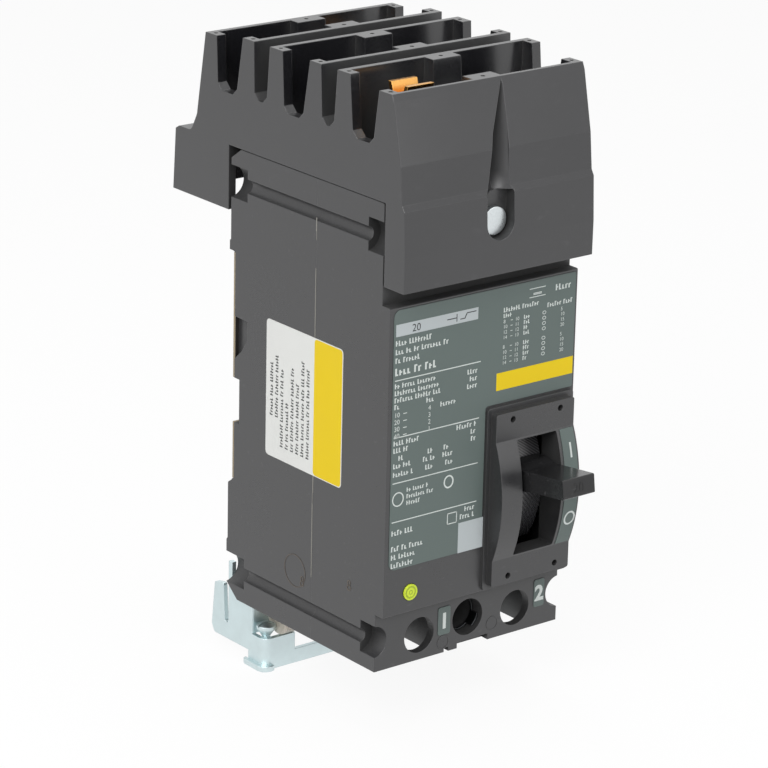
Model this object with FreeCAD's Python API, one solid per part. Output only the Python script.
"""Two-pole plug-on moulded-case circuit breaker, built as separate named pieces.

Case frame used while modelling: X across the poles, Y from the front face to the back, Z up towards
the line end, zero at mid width, on the main front face and on the case's bottom face. On export every
piece moves together so that the row's origin is the bottom centre of the whole breaker's box.
"""
import FreeCAD, Part
import math
import os
from FreeCAD import Vector as V

# ---------------------------------------------------------------- driving sizes, millimetres
case_w = 75.5            # over both poles
case_h = 154.0           # moulded case, load face to line face
split_y = 37.5           # parting plane between cover and base
base_y = 81.3            # back of the insulated middle of the base
foot_y = 84.0            # back of the lower mounting foot
head_foot_y = 82.8       # back of the upper mounting foot
wall = 3.0               # moulded outer wall
divider_t = 3.0          # barrier between the poles
pole_x = 19.8            # pole centre from mid width
fit_gap = 0.3            # clearance between separate pieces
run_gap = 0.05           # radial running clearance of a pin in its hole

ledge_z = 19.6           # top of the recessed terminal band
band_y = 4.1             # depth of the terminal band
head_z = case_h - 32.4    # top of the main front face
head_y = 4.0             # depth of the case above it, under the jaw housing
floor_z = 18.5           # floor of the mechanism chamber
chamber_top_z = case_h - 21    # full-width part of the chamber ends here
upper_top_z = case_h - 4.5      # narrow upper part of the chamber ends here
upper_in_x = 4.5         # inner side of the narrow upper chamber
upper_out_x = 30.5       # outer side of the narrow upper chamber

driver_r = 6.0           # screwdriver hole over each lug
driver_z = 8.5
mount_r = 6.2            # middle mounting hole
mount_z = 10.0
mount_tail_r = 3.6       # mounting hole behind its funnel
pocket_half_w = 7.4      # lug pocket
pocket_top_z = 16.5
pocket_back_y = 62.0

channel_r = 2.4          # half-round stacking channel along each side
channel_cap_r = 5.4      # counterbore at both ends of the channel
channel_low_z = 10.2
channel_high_z = case_h - 11.2
channel_front_y = 11.5
channel_back_y = 74.0

# escutcheon around the handle window
plate_dx = -0.5          # plate centre from the pole centre
plate_w = 32.2
plate_z0 = 21.8
plate_z1 = 80.0
plate_rise = 3.5
border_rise = 1.0
border_margin = 1.6
window_w = 16.4
window_z0 = 31.2
window_z1 = 70.1
rail_rise = 4.0          # extra height of the curved side rails
escutcheon_hole_r = 1.05
escutcheon_hole_dx = 9.8
escutcheon_hole_z = (24.4, 77.4)

# handle
handle_y = 38.0          # pivot behind the front face
handle_z = 51.0
handle_rest = 7.4        # degrees above level, where the handle stands when tripped
handle_reach = 63.4      # pivot to the end of the lever
lever_w = 13.0
lever_end_h = 6.3
lever_root_h = 10.6
lever_waist_h = 6.6
shutter_r = 36.0         # outside radius of the curved shutter
shutter_t = 1.6
shutter_half_w = 7.8
shutter_up = 44.0        # degrees of shutter above the lever
shutter_down = 41.0
yoke_t = 1.6
yoke_gap = 5.8           # between the shutter and the yoke's web
yoke_web_r = shutter_r - shutter_t - yoke_gap - yoke_t
yoke_inner = 11.3        # yoke leg, inner face from the pole centre
pivot_r = 2.5

# switching mechanism
frame_inner = 9.4
frame_t = 1.5
crossbar_y = 56.0
crossbar_z = case_h - 74
crossbar_af = 13.0       # across flats
trunnion_r = 3.0
arm_t = 4.8
arm_w_tip = 5.0
arm_w_root = 10.0
arm_len = 34.5           # crossbar centre to contact centre
arm_lean = 8.1           # degrees behind vertical when tripped
closing_angle = 8.8      # degrees from tripped to closed
contact_t = 1.8
cradle_y = 27.0
cradle_z = crossbar_z + 15
link_t = 1.1
knee = (37.3, crossbar_z + 8.8)
arm_pin = (53.0, crossbar_z + 13)
link_pin_r = 1.5
spring_r = 1.3           # mean radius of a toggle spring
spring_wire = 0.8
spring_pitch = 4.2
spring_dx = 7.4          # toggle springs from the pole centre

# arc chutes
chute_plates = 6
chute_pitch = 3.7
chute_plate_t = 1.2
chute_w = 20.0
chute_z0 = crossbar_z + 39.5
chute_z1 = crossbar_z + 61
chute_y0 = 44.0

# conductors
strip_w = 10.0
strip_t = 2.0
fixed_y = 72.4           # front face of the fixed contact strip
jaw_gap = 3.4
jaw_t = 1.6
jaw_w = 10.0
jaw_tip_z = {"left": case_h + 33.2, "right": case_h + 28.8}
clip_t = 0.9

# trip unit
trip_y = 44.0
trip_z = 34.0
trip_r = 3.4
trip_pin_r = 1.6
bimetal_y = 66.0
bimetal_t = 1.0
load_strip_y = 52.0      # load conductor's run down into the lug pocket
button_x = -27.3
button_z = 26.4
button_r = 2.65
button_spring_turns = 5
button_spring_pitch = 2.22
button_travel = 2.0

# lugs
lug_y0 = 30.0
lug_depth = 17.0
lug_w = 12.6
lug_wire_r = 3.6
lug_screw_r = 3.4

# jaw housing
skirt_y = 3.4            # inner face of the front skirt
hook_y = 84.3            # inner face of the rear hook
hook_z = case_h - 21.2
hook_wall = 2.8
skirt_z = case_h - 26.2
fin_top_z = case_h + 36.5
slot_depth = 19.0        # top of a fin to the floor of its slot
bay_floor_z = case_h + 6
jaw_foot_z = bay_floor_z + strip_t + fit_gap
bay_x0 = 5.5             # half width of the middle boss
bay_x1 = 34.25           # inner side of the end pads
thin_wall = 2.0
core_r = 0.7
recess_depth = 3.0
recess_r = 5.4
screw_z = case_h - 9.8
screw_head_r = 4.5
screw_head_t = 1.5
screw_r = 2.1

slots = (                # rear and front y at the top, rear and front y at the floor
    (91.4, 77.3, 90.6, 80.2),
    (71.4, 63.1, 70.9, 64.3),
    (56.4, 42.3, 55.4, 45.3),
    (36.7, 28.4, 35.8, 29.7),
    (22.1, 7.8, 20.4, 9.9),
)

# load-end mounting bracket
bracket_t = 1.6
bracket_x = -34.6        # outer face of the side plate
bracket_y = 66.8         # front face of the wing
bracket_z = -22.6
bend_r = 3.2
bracket_right_x = 9.5
bracket_screw_r = 1.5
bracket_screw_y = 73.0
bracket_screw_xs = (-17.0, -5.5)
insulator_t = 1.0         # fibre sheet across the base's back
clamp_head_r = 3.2
bushing_x0 = -27.6
bushing_x1 = -21.2
bushing_r = 5.4
bushing_z = -11.6        # top of the bracket's bend and underside of the clamp screw's head

# labels
label_t = 0.2
label_r = 2.4
sticker_t = 0.15

half_w = case_w / 2
side_in = half_w - wall
mid_wall = divider_t / 2
parts = {}


# ---------------------------------------------------------------- construction helpers
def yz(x):
    """Place outline points (y, z) in the plane at x."""
    return lambda u, v: V(x, u, v)


def xz(y):
    """Place outline points (x, z) in the plane at y."""
    return lambda u, v: V(u, y, v)


def xy(z):
    """Place outline points (x, y) in the plane at z."""
    return lambda u, v: V(u, v, z)


def outline(points, place):
    """Closed wire through corners (u, v) or (u, v, radius), with the radii as tangent arcs."""
    runs = []
    count = len(points)
    for i, point in enumerate(points):
        u, v = point[0], point[1]
        radius = point[2] if len(point) > 2 else 0
        if radius == 0:
            runs.append(((u, v), None, (u, v)))
            continue
        before, after = points[i - 1], points[(i + 1) % count]
        a = V(before[0] - u, before[1] - v, 0).normalize()
        b = V(after[0] - u, after[1] - v, 0).normalize()
        half = a.getAngle(b) / 2
        reach = radius / math.tan(half)
        axis = (a + b).normalize() * (radius / math.sin(half) - radius)
        start = (u + a.x * reach, v + a.y * reach)
        end = (u + b.x * reach, v + b.y * reach)
        runs.append((start, (u + axis.x, v + axis.y), end))
    edges = []
    for i, (start, middle, end) in enumerate(runs):
        if middle:
            edges.append(Part.Arc(place(*start), place(*middle), place(*end)).toShape())
        following = runs[(i + 1) % count][0]
        if math.dist(end, following) > 1e-6:
            edges.append(Part.makeLine(place(*end), place(*following)))
    return Part.Wire(edges)


def prism_x(points, x0, x1):
    """Solid with a (y, z) outline between two x planes."""
    return Part.Face(outline(points, yz(x0))).extrude(V(x1 - x0, 0, 0))


def prism_y(points, y0, y1):
    """Solid with an (x, z) outline between two y planes."""
    return Part.Face(outline(points, xz(y0))).extrude(V(0, y1 - y0, 0))


def prism_z(points, z0, z1):
    """Solid with an (x, y) outline between two z planes."""
    return Part.Face(outline(points, xy(z0))).extrude(V(0, 0, z1 - z0))


def rect(u0, u1, v0, v1, radius=0):
    """Rectangle outline, with rounded corners where a radius is given."""
    return [(u0, v0, radius), (u1, v0, radius), (u1, v1, radius), (u0, v1, radius)]


def block(x0, x1, y0, y1, z0, z1):
    """Box between the given planes."""
    return Part.makeBox(x1 - x0, y1 - y0, z1 - z0, V(x0, y0, z0))


def rod_x(y, z, r, x0, x1):
    """Round bar along X."""
    return Part.makeCylinder(r, x1 - x0, V(x0, y, z), V(1, 0, 0))


def rod_y(x, z, r, y0, y1):
    """Round bar along Y."""
    return Part.makeCylinder(r, y1 - y0, V(x, y0, z), V(0, 1, 0))


def rod_z(x, y, r, z0, z1):
    """Round bar along Z."""
    return Part.makeCylinder(r, z1 - z0, V(x, y, z0), V(0, 0, 1))


def both(shape):
    """The shape and its mirror image on the other side of mid width."""
    return [shape, shape.mirror(V(0, 0, 0), V(1, 0, 0))]


def tilt(shape, angle, y, z):
    """Turn a shape about the X axis through (y, z)."""
    turned = shape.copy()
    turned.rotate(V(0, y, z), V(1, 0, 0), angle)
    return turned


def polar(y, z, r, angle):
    """Point at an angle above the forward direction, from the pivot (y, z)."""
    a = math.radians(angle)
    return (y - r * math.cos(a), z + r * math.sin(a))


def coil(radius, wire, pitch, turns):
    """Helical spring along Z from zero, with a square wire section."""
    path = Part.makeHelix(pitch, pitch * turns, radius)
    h = wire / 2
    corners = [V(radius - h, 0, -h), V(radius + h, 0, -h), V(radius + h, 0, h), V(radius - h, 0, h)]
    section = Part.makePolygon(corners + corners[:1])
    return Part.Wire(path).makePipeShell([section], True, True)


def strip(points, thickness, x0, x1):
    """Bent strip whose (y, z) centre line has constant thickness, spanning x0 to x1."""
    left, right = [], []
    last = len(points) - 1
    for i, (u, v) in enumerate(points):
        before = points[max(i - 1, 0)]
        after = points[min(i + 1, last)]
        a = V(u - before[0], v - before[1], 0)
        b = V(after[0] - u, after[1] - v, 0)
        a = (b if a.Length == 0 else a).normalize()
        b = (a if b.Length == 0 else b).normalize()
        n = V(-a.y - b.y, a.x + b.x, 0).normalize()
        reach = thickness / 2 / (n * V(-a.y, a.x, 0))
        left.append((u + n.x * reach, v + n.y * reach))
        right.append((u - n.x * reach, v - n.y * reach))
    return prism_x(left + right[::-1], x0, x1)


# ---------------------------------------------------------------- case halves
def cover():
    """Front half of the case: terminal band, main face, escutcheon and handle window."""
    body = prism_x([(split_y, 0), (band_y, 0), (band_y, ledge_z), (0, ledge_z, 0.5), (0, head_z, 0.5),
                    (head_y, head_z), (head_y, case_h, 0.8), (split_y, case_h)], -half_w, half_w)
    body = body.fuse(escutcheon()).removeSplitter()
    lower_y = band_y + wall
    chamber = [(split_y, floor_z), (lower_y, floor_z), (lower_y, ledge_z + wall), (wall, ledge_z + wall),
               (wall, head_z - wall), (lower_y, head_z - wall), (lower_y, chamber_top_z),
               (split_y, chamber_top_z)]
    cuts = both(prism_x(chamber, mid_wall, side_in))
    cuts += both(block(upper_in_x, upper_out_x, lower_y, split_y, chamber_top_z, upper_top_z))
    cuts += both(block(pole_x - pocket_half_w, pole_x + pocket_half_w, band_y + wall, split_y,
                       -1, pocket_top_z))
    cuts += both(rod_y(pole_x, driver_z, driver_r, 0, split_y))
    cuts.append(window_cut())
    cuts.append(rod_y(0, mount_z, mount_r, 0, 10))
    cuts.append(Part.makeCone(mount_r, mount_tail_r, 8, V(0, 10, mount_z), V(0, 1, 0)))
    cuts.append(rod_y(0, mount_z, mount_tail_r, 18, split_y))
    cuts.append(rod_y(button_x, button_z, button_r + run_gap, -1, wall + 1))
    cuts.append(block(-pole_x - strip_w / 2 - 0.5, -pole_x + strip_w / 2 + 0.5,
                      jaw_centre("left") - strip_t / 2 - 0.5, jaw_centre("left") + strip_t / 2 + 0.5,
                      upper_top_z - 1, case_h + 1))
    cuts.append(rod_y(0, screw_z, screw_r + run_gap, 0, 16))
    cuts += side_channels(head_y - 5, split_y)
    cuts += foot_notches()
    cuts.append(crossbar_passage(0, split_y))
    cuts.append(trip_passage(0, split_y))
    cuts += cover_screw_bores(lower_y + 3, split_y + 1, 1.6)
    for cut in cuts:
        body = body.cut(cut)
    return body.fuse(button_guide()).removeSplitter()


def escutcheon():
    """Raised plate with a low border and two side rails that bulge round the handle's pivot."""
    x = pole_x + plate_dx
    half = plate_w / 2
    border = prism_y(rect(x - half - border_margin, min(x + half + border_margin, half_w - 0.2),
                          plate_z0 - border_margin, plate_z1 + border_margin, 1.2), -border_rise, 1)
    plate = prism_y(rect(x - half, x + half, plate_z0, plate_z1, 0.8), -plate_rise, 1)
    mid = (window_z0 + window_z1) / 2
    reach = (window_z1 - window_z0) / 2 + 0.6
    bulge = Part.Face(Part.Wire([
        Part.Arc(V(x - half, -plate_rise, mid - reach), V(x - half, -plate_rise - rail_rise, mid),
                 V(x - half, -plate_rise, mid + reach)).toShape(),
        Part.makeLine(V(x - half, -plate_rise, mid + reach), V(x - half, -plate_rise, mid - reach))]))
    return border.fuse([plate, bulge.extrude(V(plate_w, 0, 0))]).removeSplitter()


def window_cut():
    """Handle window through the rails, the plate and the cover's wall."""
    return prism_y(rect(pole_x - window_w / 2, pole_x + window_w / 2, window_z0, window_z1, 0.6),
                   -plate_rise - rail_rise - 1, wall + 1).fuse(
        [rod_y(pole_x + side * escutcheon_hole_dx, z, escutcheon_hole_r, -plate_rise - 1, 1)
         for side in (-1, 1) for z in escutcheon_hole_z])


def button_guide():
    """Short sleeve behind the front wall that guides the trip button's stem."""
    sleeve = rod_y(button_x, button_z, button_r + 1.6, wall - 0.5, wall + 5)
    return sleeve.cut(rod_y(button_x, button_z, button_r + run_gap, wall - 1, wall + 6))


def side_channels(y0, y1):
    """Half-round stacking channels along both sides, with a counterbore at each end."""
    cuts = []
    for z in (channel_low_z, channel_high_z):
        tools = [rod_y(half_w + 0.4, z, channel_r, y0, y1)]
        for cap_y0, cap_y1 in ((-1, channel_front_y), (channel_back_y, foot_y + 2)):
            low, high = max(cap_y0, y0), min(cap_y1, y1)
            if high > low:
                tools.append(rod_y(half_w + 0.6, z, channel_cap_r, low, high))
        for tool in tools:
            cuts += both(tool)
    return cuts


def foot_notches():
    """Shallow notches in the bottom edge of the terminal band beside the mounting hole."""
    return [block(-4.0, 8.7, 0, band_y + wall, -1, 2.1), block(-9.4, -7.6, 0, band_y + wall, -1, 1.4)]


def crossbar_passage(y0, y1):
    """Room for the crossbar where it goes through the barrier between the poles."""
    r = crossbar_af / 2 / math.cos(math.pi / 8) + 0.6
    full = rod_x(crossbar_y, crossbar_z, r, -mid_wall - 0.1, mid_wall + 0.1)
    return full.common(block(-5, 5, y0, y1, 0, case_h))


def trip_passage(y0, y1):
    """Room for the trip bar where it goes through the barrier between the poles."""
    full = rod_x(trip_y, trip_z, trip_r + 0.6, -mid_wall - 0.1, mid_wall + 0.1)
    return full.common(block(-5, 5, y0, y1, 0, case_h))


def cover_screw_places():
    """Centres (x, z) of the screws that hold the case halves together."""
    return [(side * x, z) for side in (-1, 1) for x, z in ((30.2, 4.5), (33.6, 151.0))]


def cover_screw_bores(y0, y1, r):
    """Bores for the case screws."""
    return [rod_y(x, z, r, y0, y1) for x, z in cover_screw_places()]


def base_outline():
    """Side outline of the base, from the parting plane round the back."""
    return [(split_y, 0), (77.9, 0), (foot_y, 5, 0.6), (foot_y, 19.7, 0.6), (83.4, 20.5), (83.4, 40),
            (base_y, 41.5), (base_y, 119.8), (83.4, 119.8), (83.4, 123), (head_foot_y, 123),
            (head_foot_y, 150.4), (77.7, case_h), (split_y, case_h)]


def base():
    """Rear half of the case, with pole chambers, lug pockets and a recessed back."""
    body = prism_x(base_outline(), -half_w, half_w)
    back_y = base_y - insulator_t - wall
    cuts = both(block(mid_wall, side_in, split_y, back_y, floor_z, chamber_top_z))
    cuts += both(block(upper_in_x, upper_out_x, split_y, back_y, chamber_top_z, upper_top_z))
    cuts += both(block(pole_x - pocket_half_w, pole_x + pocket_half_w, split_y, pocket_back_y,
                       -1, pocket_top_z))
    cuts += both(block(pole_x - 4.2, pole_x + 4.2, load_strip_y - 1.6, load_strip_y + 1.6,
                       pocket_top_z - 1, floor_z + 1))
    cuts.append(block(-half_w - 1, half_w + 1, base_y - insulator_t, base_y + 1, 41.8, 119.6))
    cuts += both(block(half_w - 4.2, half_w + 1, 77.6, foot_y, 61.7, 77.0))
    cuts += both(prism_x([(base_y, 98), (73.4, 97.8), (73.4, 91.7), (76.5, 87.0), (base_y, 82.6)],
                         half_w - 1.6, half_w + 1))
    cuts.append(rod_y(0, mount_z, mount_tail_r, split_y - 1, foot_y + 1))
    x0, x1 = pole_x - strip_w / 2 - 0.5, pole_x + strip_w / 2 + 0.5
    cuts.append(block(x0, x1, riser_y("right") - strip_t / 2 - 0.5, riser_y("right") + strip_t / 2 + 0.5,
                      upper_top_z - 1, case_h + 1))
    cuts += side_channels(split_y, foot_y + 2)
    cuts.append(crossbar_passage(split_y, base_y))
    cuts.append(trip_passage(split_y, base_y))
    cuts += both(rod_x(crossbar_y, crossbar_z, trunnion_r + run_gap, side_in - 0.1, side_in + 1.6))
    cuts += both(rod_x(trip_y, trip_z, trip_pin_r + run_gap, side_in - 0.1, side_in + 1.6))
    cuts += cover_screw_bores(split_y - 1, foot_y + 1, 1.8)
    cuts += [rod_y(x, z, 2.7, back_y, foot_y + 1) for x, z in cover_screw_places()]
    cuts += [rod_z(x, bracket_screw_y, bracket_screw_r + 0.02, -1, 7.5) for x in bracket_screw_xs]
    for cut in cuts:
        body = body.cut(cut)
    return body.removeSplitter()


def back_insulator():
    """Fibre sheet in the recess across the back of the base, notched at both sides."""
    x = half_w - 0.2
    notch = x - 4.2
    points = [(-x, 42.1), (x, 42.1), (x, 61.7), (notch, 61.7), (notch, 77.0), (x, 77.0), (x, 119.3),
              (-x, 119.3), (-x, 77.0), (-notch, 77.0), (-notch, 61.7), (-x, 61.7)]
    return prism_y(points, base_y - insulator_t, base_y)


def cover_screws():
    """Four case screws, driven from the back into the cover."""
    screws = []
    back_y = base_y - insulator_t - wall
    for x, z in cover_screw_places():
        shank = rod_y(x, z, 1.55, band_y + wall + 4, back_y + 0.1)
        head = rod_y(x, z, 2.4, back_y, back_y + 2.2)
        slot = block(x - 0.5, x + 0.5, back_y + 1.2, back_y + 3, z - 4, z + 4)
        screws.append(shank.fuse(head).cut(slot).removeSplitter())
    return Part.makeCompound(screws)


# ---------------------------------------------------------------- jaw housing
def jaw_centre(pole):
    """Y of the bus-bar slot that a pole's jaw stands in."""
    rear, front = slots[4][:2] if pole == "left" else slots[0][:2]
    return (rear + front) / 2


def riser_y(pole):
    """Y where a pole's line conductor goes up through the top of the case."""
    return jaw_centre("left") if pole == "left" else 75.4


def jaw_housing():
    """Finned moulding over the line end, with five bus-bar slots, a rear hook and a front skirt."""
    top = fin_top_z
    edge = top - 2.1
    profile = [(hook_y, hook_z), (115.1, hook_z), (113.8, case_h - 0.7), (111.9, case_h + 0.4),
               (105.2, case_h + 0.4, 3.0), (102.0, case_h + 6.5, 3.0), (97.4, edge), (slots[0][0], edge)]
    corner = 2.2
    for i, (rear, front, rear_low, front_low) in enumerate(slots):
        floor = top - slot_depth - (0.4 if i % 2 == 0 else -0.4)
        profile += [(rear_low, floor + corner), (rear_low - corner, floor),
                    (front_low + corner, floor), (front_low, floor + corner)]
        if i < len(slots) - 1:
            profile += [(front, top), (slots[i + 1][0], top)]
        else:
            profile.append((front, edge))
    profile += [(1.6, edge), (0.6, case_h + 32.2), (-3.4, case_h + 13), (-4.6, case_h + 1.2),
                (-5.7, case_h - 0.6), (-6.5, case_h - 15.1), (-6.4, skirt_z), (skirt_y, skirt_z),
                (skirt_y, case_h + fit_gap), (hook_y, case_h + fit_gap)]
    body = prism_x(profile, -half_w, half_w)
    hollow = [(hook_y - 1, hook_z - 1), (115.1 - hook_wall, hook_z - 1), (112.2 - hook_wall, case_h - 3),
              (hook_y - 1, case_h - 3)]
    cuts = [prism_x(hollow, hook_wall - half_w, half_w - hook_wall)]
    for rear_low, rear_high, front_high, front_low in bays():
        sides = [(rear_low, bay_floor_z), (rear_high, top + 1), (front_high, top + 1),
                 (front_low, bay_floor_z + 6), (front_low, bay_floor_z)]
        cuts += both(prism_x(sides, bay_x0, bay_x1))
    cuts += [core_hole(x, y) for y in fin_centres() for x in (-half_w + 1.9, 0, half_w - 1.9)]
    for pole, side in (("left", -1), ("right", 1)):
        y, x = riser_y(pole), side * pole_x
        cuts.append(block(x - strip_w / 2 - 0.5, x + strip_w / 2 + 0.5, y - strip_t / 2 - 0.5,
                          y + strip_t / 2 + 0.5, case_h - 1, bay_floor_z + 1))
    cuts.append(driver_recess())
    cuts.append(rod_y(0, screw_z, screw_r + run_gap, -6, skirt_y + 1))
    for cut in cuts:
        body = body.cut(cut)
    return body.removeSplitter()


def bays():
    """Rear and front wall of each jaw bay, low and high: the fins there thin to a single wall."""
    t = thin_wall
    return ((97.8 - t, 97.4 - t, slots[1][0] + t, slots[1][0] + t),
            (slots[1][1] - t, slots[1][1] - t, slots[3][0] + t, slots[3][0] + t),
            (slots[3][1] - t, slots[3][1] - t, 1.6 + t, -0.6))


def fin_centres():
    """Y of the cored hole in the top of each fin."""
    return (94.4, 74.4, 59.8, 39.5, 25.2, 4.7)


def core_hole(x, y):
    """Small cored hole in the top of a fin."""
    return rod_z(x, y, core_r, fin_top_z - 5, fin_top_z + 1)


def recess_section(z, left, right, edge_y, crease_y):
    """One level section of the driver groove: a V whose crease lies behind the front face."""
    low = [V(left, -12, z), V(right, -12, z), V(right, edge_y, z), V((left + right) / 2, crease_y, z),
           V(left, edge_y, z)]
    return Part.makePolygon(low + low[:1])


def driver_recess():
    """Teardrop recess in the front skirt: a round screw seat under a tapering driver groove."""
    seat_y = -6.3 + recess_depth + screw_head_t
    seat = rod_y(0, screw_z, recess_r, -12, seat_y)
    throat = block(-recess_r, recess_r, -12, seat_y, screw_z, case_h)
    sections = [recess_section(case_h - 0.2, -5.3, 5.3, -5.3, -1.2),
                recess_section(case_h + 5, -3.6, 4.3, -4.2, 1.6),
                recess_section(case_h + 18, -1.2, 4.7, -2.3, 2.4),
                recess_section(case_h + 34, 4.2, 4.5, 1.0, 1.3)]
    groove = Part.makeLoft(sections, True, True)
    return seat.fuse([throat, groove])


def housing_screw():
    """Plain flat-headed screw in the recess, holding the jaw housing to the case."""
    seat_y = -6.3 + recess_depth + screw_head_t
    head = rod_y(0, screw_z, screw_head_r, seat_y - screw_head_t, seat_y)
    return head.fuse(rod_y(0, screw_z, screw_r, seat_y - 0.1, 14)).removeSplitter()


# ---------------------------------------------------------------- line end: jaws and conductors
def jaw(pole):
    """Two facing copper fingers on a common foot, flared at the mouth to take a bus bar."""
    side = -1 if pole == "left" else 1
    c, g = jaw_centre(pole), jaw_gap / 2
    z0, z1, t = jaw_foot_z, jaw_tip_z[pole], jaw_t
    rear = [(c, z0 + t), (c + g + 0.6, z0 + t, 1), (c + g + 1.6, z0 + 8), (c + g, z1 - 9),
            (c + g, z1 - 5), (c + g + 1.6, z1), (c + g + 1.6 + t, z1), (c + g + t, z1 - 5),
            (c + g + t, z1 - 9), (c + g + 1.6 + t, z0 + 8), (c + g + 0.8 + t, z0, 1.2), (c, z0)]
    finger = prism_x(rear, side * pole_x - jaw_w / 2, side * pole_x + jaw_w / 2)
    return finger.fuse(finger.mirror(V(0, c, 0), V(0, 1, 0))).removeSplitter()


def jaw_clip(pole):
    """Spring-steel clip that squeezes the two fingers together."""
    side = -1 if pole == "left" else 1
    c = jaw_centre(pole)
    out = jaw_gap / 2 + 1.6 + jaw_t + 0.25
    z0 = jaw_foot_z + 9.0
    rear = [(c, z0 - 4.6), (c + out, z0 - 4.6), (c + out, z0 + 6), (c + out + clip_t, z0 + 6),
            (c + out + clip_t, z0 - 4.6 - clip_t, 1.0), (c, z0 - 4.6 - clip_t)]
    x = side * pole_x
    window = block(x - jaw_w / 2 - 0.25, x + jaw_w / 2 + 0.25, c - out, c + out, z0 - 6, z0 - 4)
    half = prism_x(rear, x - jaw_w / 2 - 1.2, x + jaw_w / 2 + 1.2)
    whole = half.fuse(half.mirror(V(0, c, 0), V(0, 1, 0))).removeSplitter()
    return whole, window


def line_conductor(pole):
    """Copper strip from the fixed contact up to the foot of the jaw."""
    side = -1 if pole == "left" else 1
    y = fixed_y + strip_t / 2
    foot = jaw_foot_z - strip_t / 2
    if pole == "left":
        run = [(y, 106), (y, upper_top_z - 2.5), (riser_y(pole), upper_top_z - 2.5), (riser_y(pole), foot)]
    else:
        run = [(y, 106), (y, 144), (riser_y(pole), 147.5), (riser_y(pole), foot), (jaw_centre(pole), foot)]
    x = side * pole_x
    body = strip(run, strip_t, x - strip_w / 2, x + strip_w / 2)
    if pole == "left":
        c = riser_y(pole)
        body = body.fuse(block(x - strip_w / 2, x + strip_w / 2, c - 4, c + 4,
                               jaw_foot_z - strip_t, jaw_foot_z))
    return body.removeSplitter()


def fixed_contact(pole):
    """Silver pad on the front of the line conductor, faced to meet the closed moving contact."""
    side = -1 if pole == "left" else 1
    lean = math.radians(arm_lean + closing_angle)
    face = arm_w_tip / 2 + contact_t + fit_gap
    front = [(crossbar_y + r * math.sin(lean) + face * math.cos(lean),
              crossbar_z + r * math.cos(lean) - face * math.sin(lean))
             for r in (arm_len - 3.5, arm_len + 3.5)]
    points = [front[0], front[1], (fixed_y, front[1][1]), (fixed_y, front[0][1])]
    return prism_x(points, side * pole_x - 3.5, side * pole_x + 3.5)


# ---------------------------------------------------------------- moving contacts
def contact_arm(pole):
    """Copper arm, wide at the crossbar and narrow at the contact."""
    side = -1 if pole == "left" else 1
    x = side * pole_x
    y, z = crossbar_y, crossbar_z
    flats = crossbar_af / 2 + 0.05
    points = [(y - arm_w_root / 2, z + flats), (y + arm_w_root / 2, z + flats),
              (y + arm_w_tip / 2, z + arm_len - 4), (y + arm_w_tip / 2, z + arm_len + 3.5, 1),
              (y - arm_w_tip / 2, z + arm_len + 3.5, 2.4), (y - arm_w_tip / 2, z + arm_len - 6)]
    blade = prism_x(points, x - arm_t / 2, x + arm_t / 2)
    blade = tilt(blade, -arm_lean, y, z)
    if pole == "right":
        blade = blade.cut(rod_x(arm_pin[0], arm_pin[1], link_pin_r + run_gap, x - 5, x + 5))
    return blade


def moving_contact(pole):
    """Silver tip on the back of the contact arm."""
    side = -1 if pole == "left" else 1
    y = crossbar_y + arm_w_tip / 2
    tip = block(side * pole_x - 2.4, side * pole_x + 2.4, y, y + contact_t,
                crossbar_z + arm_len - 3, crossbar_z + arm_len + 3)
    return tilt(tip, -arm_lean, crossbar_y, crossbar_z)


def crossbar():
    """Moulded octagonal bar that carries both contact arms and turns in the base's side walls."""
    y, z = crossbar_y, crossbar_z
    r = crossbar_af / 2 / math.cos(math.pi / 8)
    corners = [(y + r * math.cos(math.radians(22.5 + 45 * i)), z + r * math.sin(math.radians(22.5 + 45 * i)))
               for i in range(8)]
    body = prism_x(corners, -side_in + fit_gap, side_in - fit_gap)
    reach = side_in + 1.3
    return tilt(body.fuse(rod_x(y, z, trunnion_r, -reach, reach)).removeSplitter(), -arm_lean, y, z)


def braid(pole):
    """Flexible copper braid from the contact arm's heel to the top of the bimetal."""
    side = -1 if pole == "left" else 1
    end_y = bimetal_y + bimetal_t + 0.82
    run = [(crossbar_y + 8.0, crossbar_z + 5), (crossbar_y + 9.4, crossbar_z - 5),
           (crossbar_y + 9.4, crossbar_z - 10),
           (end_y, 66), (end_y, 58)]
    x = side * pole_x
    return strip(run, 1.6, x - 3, x + 3)


# ---------------------------------------------------------------- arc chutes
def arc_plates(pole):
    """Stack of steel arc plates, each with a throat for the contact arm's tip."""
    side = -1 if pole == "left" else 1
    x = side * pole_x
    half = chute_w / 2
    throat_z = chute_z0 + 7
    points = [(x - half, chute_z0), (x - 5, chute_z0), (x - 1.6, throat_z, 1.4), (x + 1.6, throat_z, 1.4),
              (x + 5, chute_z0), (x + half, chute_z0), (x + half, chute_z1), (x - half, chute_z1)]
    return Part.makeCompound([prism_y(points, chute_y0 + i * chute_pitch,
                                      chute_y0 + i * chute_pitch + chute_plate_t)
                              for i in range(chute_plates)])


def chute_walls(pole):
    """Two fibre side walls that hold the arc plates' edges."""
    side = -1 if pole == "left" else 1
    x = side * pole_x
    y1 = chute_y0 + (chute_plates - 1) * chute_pitch + chute_plate_t
    walls = []
    for lean in (-1, 1):
        inner = x + lean * chute_w / 2
        outer = inner + lean * 0.7
        low, high = min(inner, outer), max(inner, outer)
        walls.append(block(low, high, chute_y0 - 1, y1 + 1, chute_z0 - 3, upper_top_z - fit_gap))
    return Part.makeCompound(walls)


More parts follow.
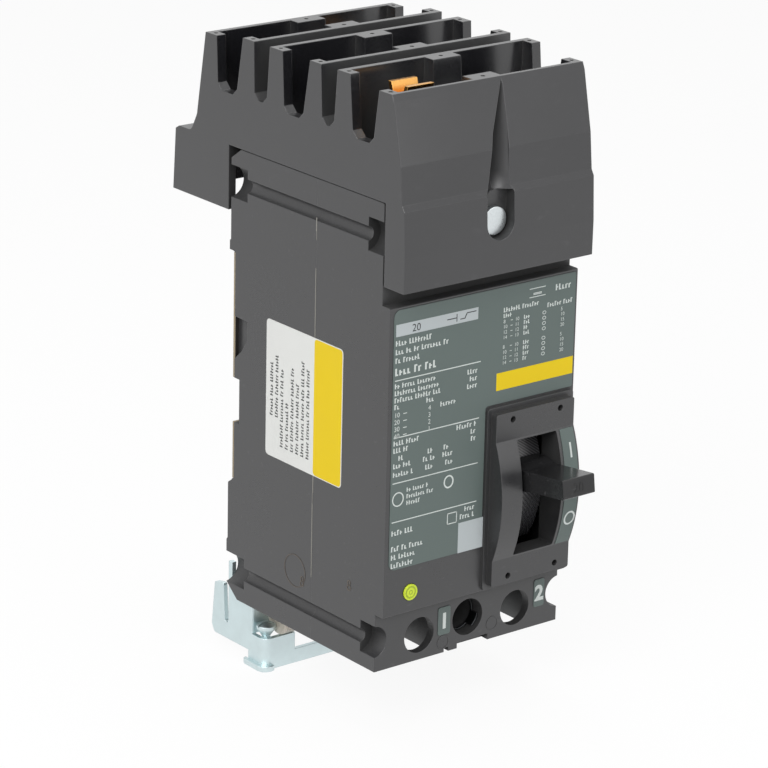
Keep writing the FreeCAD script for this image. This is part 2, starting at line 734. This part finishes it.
# ---------------------------------------------------------------- handle and its linkage
def handle():
    """Moulded lever on a curved hub, modelled level and then raised to its tripped position."""
    y, z = handle_y, handle_z
    hub_y = y - shutter_r - 0.2
    end_y = y - handle_reach
    waist_y = hub_y - 7.8
    lever = prism_x([(hub_y, z - lever_root_h / 2), (hub_y, z + lever_root_h / 2),
                     (hub_y - 4.6, z + lever_root_h / 2 - 0.4, 0.6), (waist_y, z + lever_waist_h / 2, 0.6),
                     (end_y, z + lever_end_h / 2, 0.6), (end_y, z - lever_end_h / 2, 0.6),
                     (waist_y, z - lever_waist_h / 2, 0.6), (hub_y - 4.6, z - lever_root_h / 2 + 0.4, 0.6)],
                    pole_x - lever_w / 2, pole_x + lever_w / 2)
    stem = block(pole_x - 4, pole_x + 4, hub_y - 1, y - yoke_web_r, z - 4, z + 4)
    return tilt(lever.fuse(stem).removeSplitter(), -handle_rest, y, z)


def handle_shutter():
    """Curved shutter that closes the window behind the lever in every position."""
    y, z = handle_y, handle_z
    ring = rod_x(y, z, shutter_r, pole_x - shutter_half_w, pole_x + shutter_half_w)
    ring = ring.cut(rod_x(y, z, shutter_r - shutter_t, pole_x - 10, pole_x + 10))
    top, low = polar(y, z, 60, shutter_up), polar(y, z, 60, -shutter_down)
    wedge = prism_x([(y, z), top, (y - 62, z), low], pole_x - 10, pole_x + 10)
    hole = block(pole_x - 4.1, pole_x + 4.1, y - shutter_r - 3, y - shutter_r + 3, z - 4.1, z + 4.1)
    return tilt(ring.common(wedge).cut(hole), -handle_rest, y, z)


def handle_yoke():
    """Steel yoke that carries the handle and turns on pins in the mechanism frame."""
    y, z = handle_y, handle_z
    bend = y - yoke_web_r
    leg = [(y + 4.2, z - 3.4, 3), (y + 4.2, z + 3.4, 3), (bend + 9, z + 6), (bend, z + 9), (bend, z - 9),
           (bend + 9, z - 6)]
    legs = [prism_x(leg, pole_x + side * yoke_inner, pole_x + side * (yoke_inner + yoke_t))
            for side in (-1, 1)]
    reach = yoke_inner + yoke_t
    web = block(pole_x - reach, pole_x + reach, bend - yoke_t, bend, z - 9, z + 9)
    whole = web.fuse(legs)
    whole = whole.cut(rod_x(y, z, pivot_r + run_gap, pole_x - 20, pole_x + 20))
    whole = whole.cut(block(pole_x - 4.1, pole_x + 4.1, bend - 3, bend + 3, z - 4.1, z + 4.1))
    return tilt(whole.removeSplitter(), -handle_rest, y, z)


def mechanism_frame():
    """Two steel side plates tied by spacers, standing on the floor of the right-hand chamber."""
    plates = []
    outline_yz = [(22, 34), (31, 30), (37, floor_z), (41, floor_z), (48.3, 42), (48.3, crossbar_z - 10),
                  (46, crossbar_z - 4), (46, cradle_z - 3), (36, cradle_z + 9), (22, cradle_z + 9, 3),
                  (18.5, cradle_z - 3, 3), (30, 60), (30, 46)]
    for side in (-1, 1):
        a = pole_x + side * frame_inner
        b = pole_x + side * (frame_inner + frame_t)
        plate = prism_x(outline_yz, min(a, b), max(a, b))
        holes = [rod_x(cradle_y, cradle_z, link_pin_r + run_gap, a - 3, a + 3),
                 rod_x(handle_y, handle_z, pivot_r + 0.02, a - 3, a + 3),
                 rod_x(trip_y, trip_z, trip_r + 0.6, a - 3, a + 3)]
        for hole in holes:
            plate = plate.cut(hole)
        plates.append(plate)
    spots = ((handle_y + 4.5, handle_z + 11), (cradle_y + 5, cradle_z + 6))
    spacers = [rod_x(y, z, 1.8, pole_x - frame_inner, pole_x + frame_inner) for y, z in spots]
    return plates[0].fuse([plates[1]] + spacers).removeSplitter()


def frame_pins():
    """Pins riveted in the frame: two that the yoke turns on, and the cradle's pin across both plates."""
    reach = frame_inner + frame_t + 0.5
    pins = [rod_x(cradle_y, cradle_z, link_pin_r, pole_x - reach, pole_x + reach)]
    for side in (-1, 1):
        a = pole_x + side * (frame_inner - 0.6)
        b = pole_x + side * (yoke_inner + yoke_t + 0.8)
        pins.append(rod_x(handle_y, handle_z, pivot_r, min(a, b), max(a, b)))
    return Part.makeCompound(pins)


def cradle():
    """Latch lever that the upper link hangs from, hooked under the trip bar's latch."""
    y, z = cradle_y, cradle_z
    points = [(y - 4, z - 3, 2), (y - 4, z + 4, 2), (y + 4, z + 4, 2), (y + 4.5, z - 6), (y + 1, z - 30),
              (y + 5.5, 47.5), (y + 5.5, 44), (y, 44, 1), (y - 4.5, z - 30)]
    plate = prism_x(points, pole_x - 1.2, pole_x + 1.2)
    return plate.cut(rod_x(y, z, link_pin_r + run_gap, pole_x - 3, pole_x + 3))


def link(start, end, inner):
    """Pair of flat toggle links between two pivots."""
    (y0, z0), (y1, z1) = start, end
    length = math.dist(start, end)
    angle = math.degrees(math.atan2(z1 - z0, y1 - y0))
    plates = []
    for side in (-1, 1):
        a = pole_x + side * inner
        b = pole_x + side * (inner + link_t)
        low, high = min(a, b), max(a, b)
        bar = prism_x(rect(y0 - 3, y0 + length + 3, z0 - 3, z0 + 3, 2.9), low, high)
        for reach in (0, length):
            bar = bar.cut(rod_x(y0 + reach, z0, link_pin_r + run_gap, low - 1, high + 1))
        plates.append(tilt(bar, angle, y0, z0))
    return Part.makeCompound(plates)


def upper_link():
    """Upper toggle link, hung on the cradle's pin."""
    return link((cradle_y, cradle_z), knee, 4.55)


def lower_link():
    """Lower toggle link, pinned to the contact arm."""
    return link(arm_pin, knee, 3.0)


def link_pins():
    """Pins at the knee and at the contact arm, carried by the lower link."""
    return Part.makeCompound([rod_x(knee[0], knee[1], link_pin_r, pole_x - 4.5, pole_x + 4.5),
                              rod_x(arm_pin[0], arm_pin[1], link_pin_r, pole_x - 4.5, pole_x + 4.5)])


def toggle_springs():
    """Pair of extension springs from the knee to the yoke's web."""
    y0, z0 = knee
    y1, z1 = polar(handle_y, handle_z, yoke_web_r - yoke_t, handle_rest)
    length = math.dist((y0, z0), (y1, z1)) - 5
    angle = math.degrees(math.atan2(y0 - y1, z0 - z1))
    turns = round(length / spring_pitch)
    springs = []
    for side in (-1, 1):
        body = coil(spring_r, spring_wire, length / turns, turns)
        body.rotate(V(0, 0, 0), V(1, 0, 0), -angle)
        body.translate(V(pole_x + side * spring_dx, y1 + 2 * math.sin(math.radians(angle)), z1 + 2))
        springs.append(body)
    return Part.makeCompound(springs)


# ---------------------------------------------------------------- trip unit
def bimetal(pole):
    """Bimetal strip that bends forward when it heats."""
    side = -1 if pole == "left" else 1
    x = side * pole_x
    return block(x - 4, x + 4, bimetal_y, bimetal_y + bimetal_t, 26, 64)


def load_conductor(pole):
    """Copper strip from the bimetal's foot down to the lug."""
    side = -1 if pole == "left" else 1
    x = side * pole_x
    y = bimetal_y + bimetal_t + strip_t / 2
    floor = floor_z + 0.3 + 1.0
    run = [(y, 44), (y, floor), (load_strip_y, floor), (load_strip_y, lug_wire_z() - 1)]
    return strip(run, strip_t, x - 3.8, x + 3.8)


def lug_wire_z():
    """Height of the lug's tang above the load face."""
    return 9.0


def magnet_yoke(pole):
    """Steel U round the bimetal that trips the breaker on a short circuit."""
    side = -1 if pole == "left" else 1
    x = side * pole_x
    back = bimetal_y + bimetal_t + strip_t
    body = block(x - 7, x + 7, bimetal_y - 5, back + 1.8, 38, 52)
    return body.cut(block(x - 5, x + 5, bimetal_y - 6, back, 37, 53))


def armature(pole):
    """Steel flap in front of the magnet, carried by the trip bar's arm."""
    side = -1 if pole == "left" else 1
    x = side * pole_x
    return block(x - 6.5, x + 6.5, bimetal_y - 7.0, bimetal_y - 5.6, 37, 54)


def trip_bar():
    """Moulded bar with one arm behind each bimetal and one in front of the push-to-trip button."""
    reach = side_in + 1.3
    bar = rod_x(trip_y, trip_z, trip_r, -side_in + fit_gap, side_in - fit_gap)
    shaft = rod_x(trip_y, trip_z, trip_pin_r, -reach, reach)
    arms = []
    for side in (-1, 1):
        x = side * pole_x
        arms.append(prism_x([(trip_y, trip_z - 2.6), (trip_y, trip_z + 2.6), (57, 36), (57, 61, 1),
                             (58.8, 61, 0.6), (58.8, 33.0)], x - 2.2, x + 2.2))
    push = prism_x([(trip_y - 2.8, trip_z), (trip_y + 2.8, trip_z), (trip_y - 4, button_z - 3, 1),
                    (trip_y - 8, button_z - 3, 1)], button_x - 2, button_x + 2)
    return bar.fuse([shaft, push] + arms).removeSplitter()


def trip_bar_spring():
    """Torsion spring round the trip bar that holds it against its stop."""
    body = coil(trip_r + 0.9, 0.6, 1.4, 3)
    body.rotate(V(0, 0, 0), V(0, 1, 0), 90)
    body.translate(V(-12, trip_y, trip_z))
    return body


def trip_button():
    """Push-to-trip button: flat head flush in the cover and a stem back to the trip bar."""
    head = rod_y(button_x, button_z, button_r, -0.5, wall + 5)
    collar_y = wall + 5
    stem_end = trip_y - 7.4 - fit_gap
    stem = rod_y(button_x, button_z, 1.3, collar_y - 0.5, stem_end)
    flange = rod_y(button_x, button_z, button_r + 1.2, collar_y + 0.1, collar_y + 1.3)
    ring = rod_y(button_x, button_z, button_r - 0.6, -1, -0.25).cut(
        rod_y(button_x, button_z, button_r - 1.1, -1, -0.25))
    return head.fuse([stem, flange]).cut(ring).removeSplitter()


def button_spring():
    """Compression spring round the button's stem."""
    body = coil(2.3, 0.6, button_spring_pitch, button_spring_turns)
    body.rotate(V(0, 0, 0), V(1, 0, 0), -90)
    body.translate(V(button_x, wall + 5 + 1.3 + 0.4, button_z))
    return body


def spring_seat():
    """Moulded seat in the cover that the button's spring pushes against."""
    spring_len = button_spring_turns * button_spring_pitch
    y0 = wall + 5 + 1.3 + 0.4 + spring_len + 0.7 + button_travel
    seat = block(-side_in - 0.5, button_x + 3.6, y0, y0 + 1.8, floor_z - 0.5, button_z + 3.4)
    return seat.cut(rod_y(button_x, button_z, 1.3 + 0.25, y0 - 1, y0 + 3))


# ---------------------------------------------------------------- load end: lugs and bracket
def lug(pole):
    """Box lug with a wire bore along Z and a binding-screw bore along Y."""
    side = -1 if pole == "left" else 1
    x = side * pole_x
    half = lug_w / 2
    body = prism_z(rect(x - half, x + half, lug_y0, lug_y0 + lug_depth, 1.0), 1.0, pocket_top_z - 0.4)
    body = body.cut(rod_z(x, lug_y0 + 11.5, lug_wire_r, 0, pocket_top_z + 1))
    body = body.cut(rod_y(x, driver_z, lug_screw_r + run_gap, lug_y0 - 1, lug_y0 + 11.5))
    tang = block(x - 3.8, x + 3.8, lug_y0 + lug_depth - 0.5, load_strip_y - strip_t / 2, 8.0, 11.0)
    return body.fuse(tang).removeSplitter()


def lug_screw(pole):
    """Slotted binding screw of a lug."""
    side = -1 if pole == "left" else 1
    x = side * pole_x
    screw = rod_y(x, driver_z, lug_screw_r, lug_y0 - 3.5, lug_y0 + 7.0)
    return screw.cut(block(x - 4, x + 4, lug_y0 - 4, lug_y0 - 2.0, driver_z - 0.6, driver_z + 0.6))


def mounting_bracket():
    """Zinc-plated bracket under the base: hooked side plate, foot, wing with a window, top flange."""
    x0, y0, z0, t, r = bracket_x, bracket_y, bracket_z, bracket_t, bend_r
    plate = prism_x([(y0 + r, z0), (75.5, z0), (75.5, -17.8), (94.9, -17.9, 1.5), (96.3, -15.2, 0.8),
                     (94.7, 0.4, 0.8), (89.8, 1.3, 0.8), (88.9, -12.2, 0.9), (86.9, -12.2, 0.9),
                     (86.9, 10.2), (foot_y + 0.9, 10.2), (foot_y + 0.9, 4.4), (78.4, -0.6), (73.4, -0.6),
                     (73.4, bushing_z), (y0 + r, bushing_z)], x0, x0 + t)
    bend = rod_z(x0 + r, y0 + r, r, z0, bushing_z).cut(rod_z(x0 + r, y0 + r, r - t, z0 - 1, 0))
    bend = bend.common(block(x0, x0 + r, y0, y0 + r, z0, 0))
    right = bracket_right_x
    wing = prism_y([(x0 + r, z0), (right, z0, 2), (right, 0), (bushing_x1 + 0.4, 0),
                    (bushing_x1 + 0.4, bushing_z), (x0 + r, bushing_z)], y0, y0 + t)
    wing = wing.cut(block(-21.8, -5.0, y0 - 1, y0 + t + 1, -17.7, -5.0))
    foot = prism_z([(x0 - 1.4, y0 + 0.6, 1.2), (x0 + 0.5, y0 + 0.6), (x0 + 0.5, 75.5), (x0 - 1.4, 75.5)],
                   z0, z0 + t)
    flange = block(bushing_x1 + 0.4, right, y0, 77.6, -t, 0)
    body = plate.fuse([bend, wing, foot, flange])
    for x in bracket_screw_xs:
        body = body.cut(rod_z(x, bracket_screw_y, bracket_screw_r + 0.3, -t - 1, 1))
    return body.removeSplitter()


def bracket_screws():
    """Two screws that hold the bracket's flange to the base."""
    screws = []
    for x in bracket_screw_xs:
        head = rod_z(x, bracket_screw_y, 3.0, -bracket_t - 1.8, -bracket_t)
        head = head.cut(block(x - 4, x + 4, bracket_screw_y - 0.5, bracket_screw_y + 0.5,
                              -bracket_t - 3, -bracket_t - 0.9))
        screws.append(head.fuse(rod_z(x, bracket_screw_y, bracket_screw_r, -bracket_t - 0.1, 7.0)))
    return Part.makeCompound(screws)


def clamp_screw():
    """Countersunk screw standing in the bracket's bend."""
    x, y = bracket_x + bend_r, bracket_y + bend_r
    under = bushing_z + 0.2
    cone = Part.makeCone(bracket_screw_r, clamp_head_r, 2.6, V(x, y, under), V(0, 0, 1))
    head = rod_z(x, y, clamp_head_r, under + 2.6, under + 3.4)
    dome = Part.makeSphere(6.2, V(x, y, under - 1.6)).common(rod_z(x, y, clamp_head_r, under + 3, under + 6))
    shank = rod_z(x, y, bracket_screw_r, bracket_z + 1.0, under + 0.1)
    slot = block(x - 4, x + 4, y - 0.45, y + 0.45, under + 3.3, under + 6)
    return cone.fuse([head, dome, shank]).cut(slot).removeSplitter()


def bracket_bushing():
    """Pale rounded spacer between the bracket's wing and the bottom of the base."""
    y = bracket_y + 3.4
    drum = rod_x(y, bushing_r - 8.9, bushing_r, bushing_x0, bushing_x1)
    return drum.common(block(bushing_x0, bushing_x1, y - 10, y + 10, -12, -0.1))


def hole_clip():
    """Steel clip in the middle mounting hole, with two opposite fingers that keep its screw in."""
    r = mount_r - 0.02
    ring = rod_y(0, mount_z, r, 6.0, 9.6).cut(rod_y(0, mount_z, r - 0.6, 5, 10))
    band = block(-8, 8, 5, 10, -2.2, 2.2)
    band.rotate(V(0, 0, 0), V(0, 1, 0), 30)
    band.translate(V(0, 0, mount_z))
    base_ring = rod_y(0, mount_z, r, 8.8, 9.6).cut(rod_y(0, mount_z, r - 0.6, 8, 10))
    return ring.common(band).fuse(base_ring).removeSplitter()


# ---------------------------------------------------------------- labels
def front_label():
    """Thin label on the main face, cut out round the escutcheon."""
    edge = pole_x + plate_dx - plate_w / 2 - border_margin - 0.4
    top = plate_z1 + border_margin + 0.8
    points = [(-36.2, 35.3, label_r), (edge, 35.3, label_r), (edge, top, 1.0), (37.0, top, 0.6),
              (37.0, head_z - 0.9, 0.8), (-36.2, head_z - 0.9, label_r)]
    return prism_y(points, -label_t, 0)


def side_sticker():
    """Paper sticker on the left side, across the parting line."""
    points = [(22.8, 56.2, 1.5), (62.8, 56.2, 1.5), (62.8, 102.2, 1.5), (22.8, 102.2, 1.5)]
    return prism_x(points, -half_w - sticker_t, -half_w)


def pole_labels():
    """Small label beside each outer driver hole."""
    return Part.makeCompound([prism_y(rect(-12.2, -7.2, 6.3, 15.8, 0.8), band_y - label_t, band_y),
                              prism_y(rect(27.8, 32.2, 6.6, 16.1, 0.8), band_y - label_t, band_y)])


def position_labels():
    """Curved on and off labels on the right-hand rail."""
    x = pole_x + plate_dx
    mid = (window_z0 + window_z1) / 2
    reach = (window_z1 - window_z0) / 2 + 0.6
    radius = (reach ** 2 + rail_rise ** 2) / (2 * rail_rise)
    centre_y = -plate_rise - rail_rise + radius
    shell = rod_x(centre_y, mid, radius + label_t, x + 9.9, x + plate_w / 2 - 0.7)
    shell = shell.cut(rod_x(centre_y, mid, radius, x, x + plate_w))
    bands = [(mid + 5.0, mid + reach - 0.5), (mid - reach + 0.5, mid - 2.6)]
    return Part.makeCompound([shell.common(block(x, x + plate_w, -20, centre_y, z0, z1)) for z0, z1 in bands])


# ---------------------------------------------------------------- assembly
def build_all():
    """Make every node of the breaker in the case frame."""
    parts["cover"] = cover().fuse(spring_seat()).removeSplitter()
    parts["base"] = base()
    parts["back_insulator"] = back_insulator()
    parts["cover_screws"] = cover_screws()
    parts["jaw_housing"] = jaw_housing()
    parts["housing_screw"] = housing_screw()
    for pole in ("left", "right"):
        parts["bus_jaw_" + pole] = jaw(pole)
        clip, window = jaw_clip(pole)
        parts["jaw_spring_" + pole] = clip.cut(window)
        parts["line_conductor_" + pole] = line_conductor(pole)
        parts["fixed_contact_" + pole] = fixed_contact(pole)
        parts["contact_arm_" + pole] = contact_arm(pole)
        parts["moving_contact_" + pole] = moving_contact(pole)
        parts["braid_" + pole] = braid(pole)
        parts["arc_plates_" + pole] = arc_plates(pole)
        parts["arc_chute_walls_" + pole] = chute_walls(pole)
        parts["bimetal_" + pole] = bimetal(pole)
        parts["load_conductor_" + pole] = load_conductor(pole)
        parts["magnet_yoke_" + pole] = magnet_yoke(pole)
        parts["armature_" + pole] = armature(pole)
        parts["lug_" + pole] = lug(pole)
        parts["lug_screw_" + pole] = lug_screw(pole)
    parts["crossbar"] = crossbar()
    parts["mechanism_frame"] = mechanism_frame()
    parts["cradle"] = cradle()
    parts["upper_link"] = upper_link()
    parts["lower_link"] = lower_link()
    parts["link_pins"] = link_pins()
    parts["toggle_springs"] = toggle_springs()
    parts["handle"] = handle()
    parts["handle_shutter"] = handle_shutter()
    parts["handle_yoke"] = handle_yoke()
    parts["frame_pins"] = frame_pins()
    parts["trip_bar"] = trip_bar()
    parts["trip_bar_spring"] = trip_bar_spring()
    parts["trip_button"] = trip_button()
    parts["trip_button_spring"] = button_spring()
    parts["mounting_bracket"] = mounting_bracket()
    parts["bracket_screws"] = bracket_screws()
    parts["clamp_screw"] = clamp_screw()
    parts["bracket_bushing"] = bracket_bushing()
    parts["mounting_hole_clip"] = hole_clip()
    parts["front_label"] = front_label()
    parts["side_sticker"] = side_sticker()
    parts["pole_labels"] = pole_labels()
    parts["position_labels"] = position_labels()


def export_all():
    """Move the breaker so that its box's bottom centre is the origin, and write one STEP per node."""
    os.makedirs("parts", exist_ok=True)
    box = FreeCAD.BoundBox()
    for shape in parts.values():
        box.add(shape.optimalBoundingBox(True, False))
    shift = V(-box.Center.x, -box.Center.y, -box.ZMin)
    for name, shape in parts.items():
        placed = shape.copy()
        placed.translate(shift)
        placed.exportStep("parts/" + name + ".step")
    print("shift", tuple(round(c, 4) for c in shift), "nodes", len(parts))


build_all()
export_all()
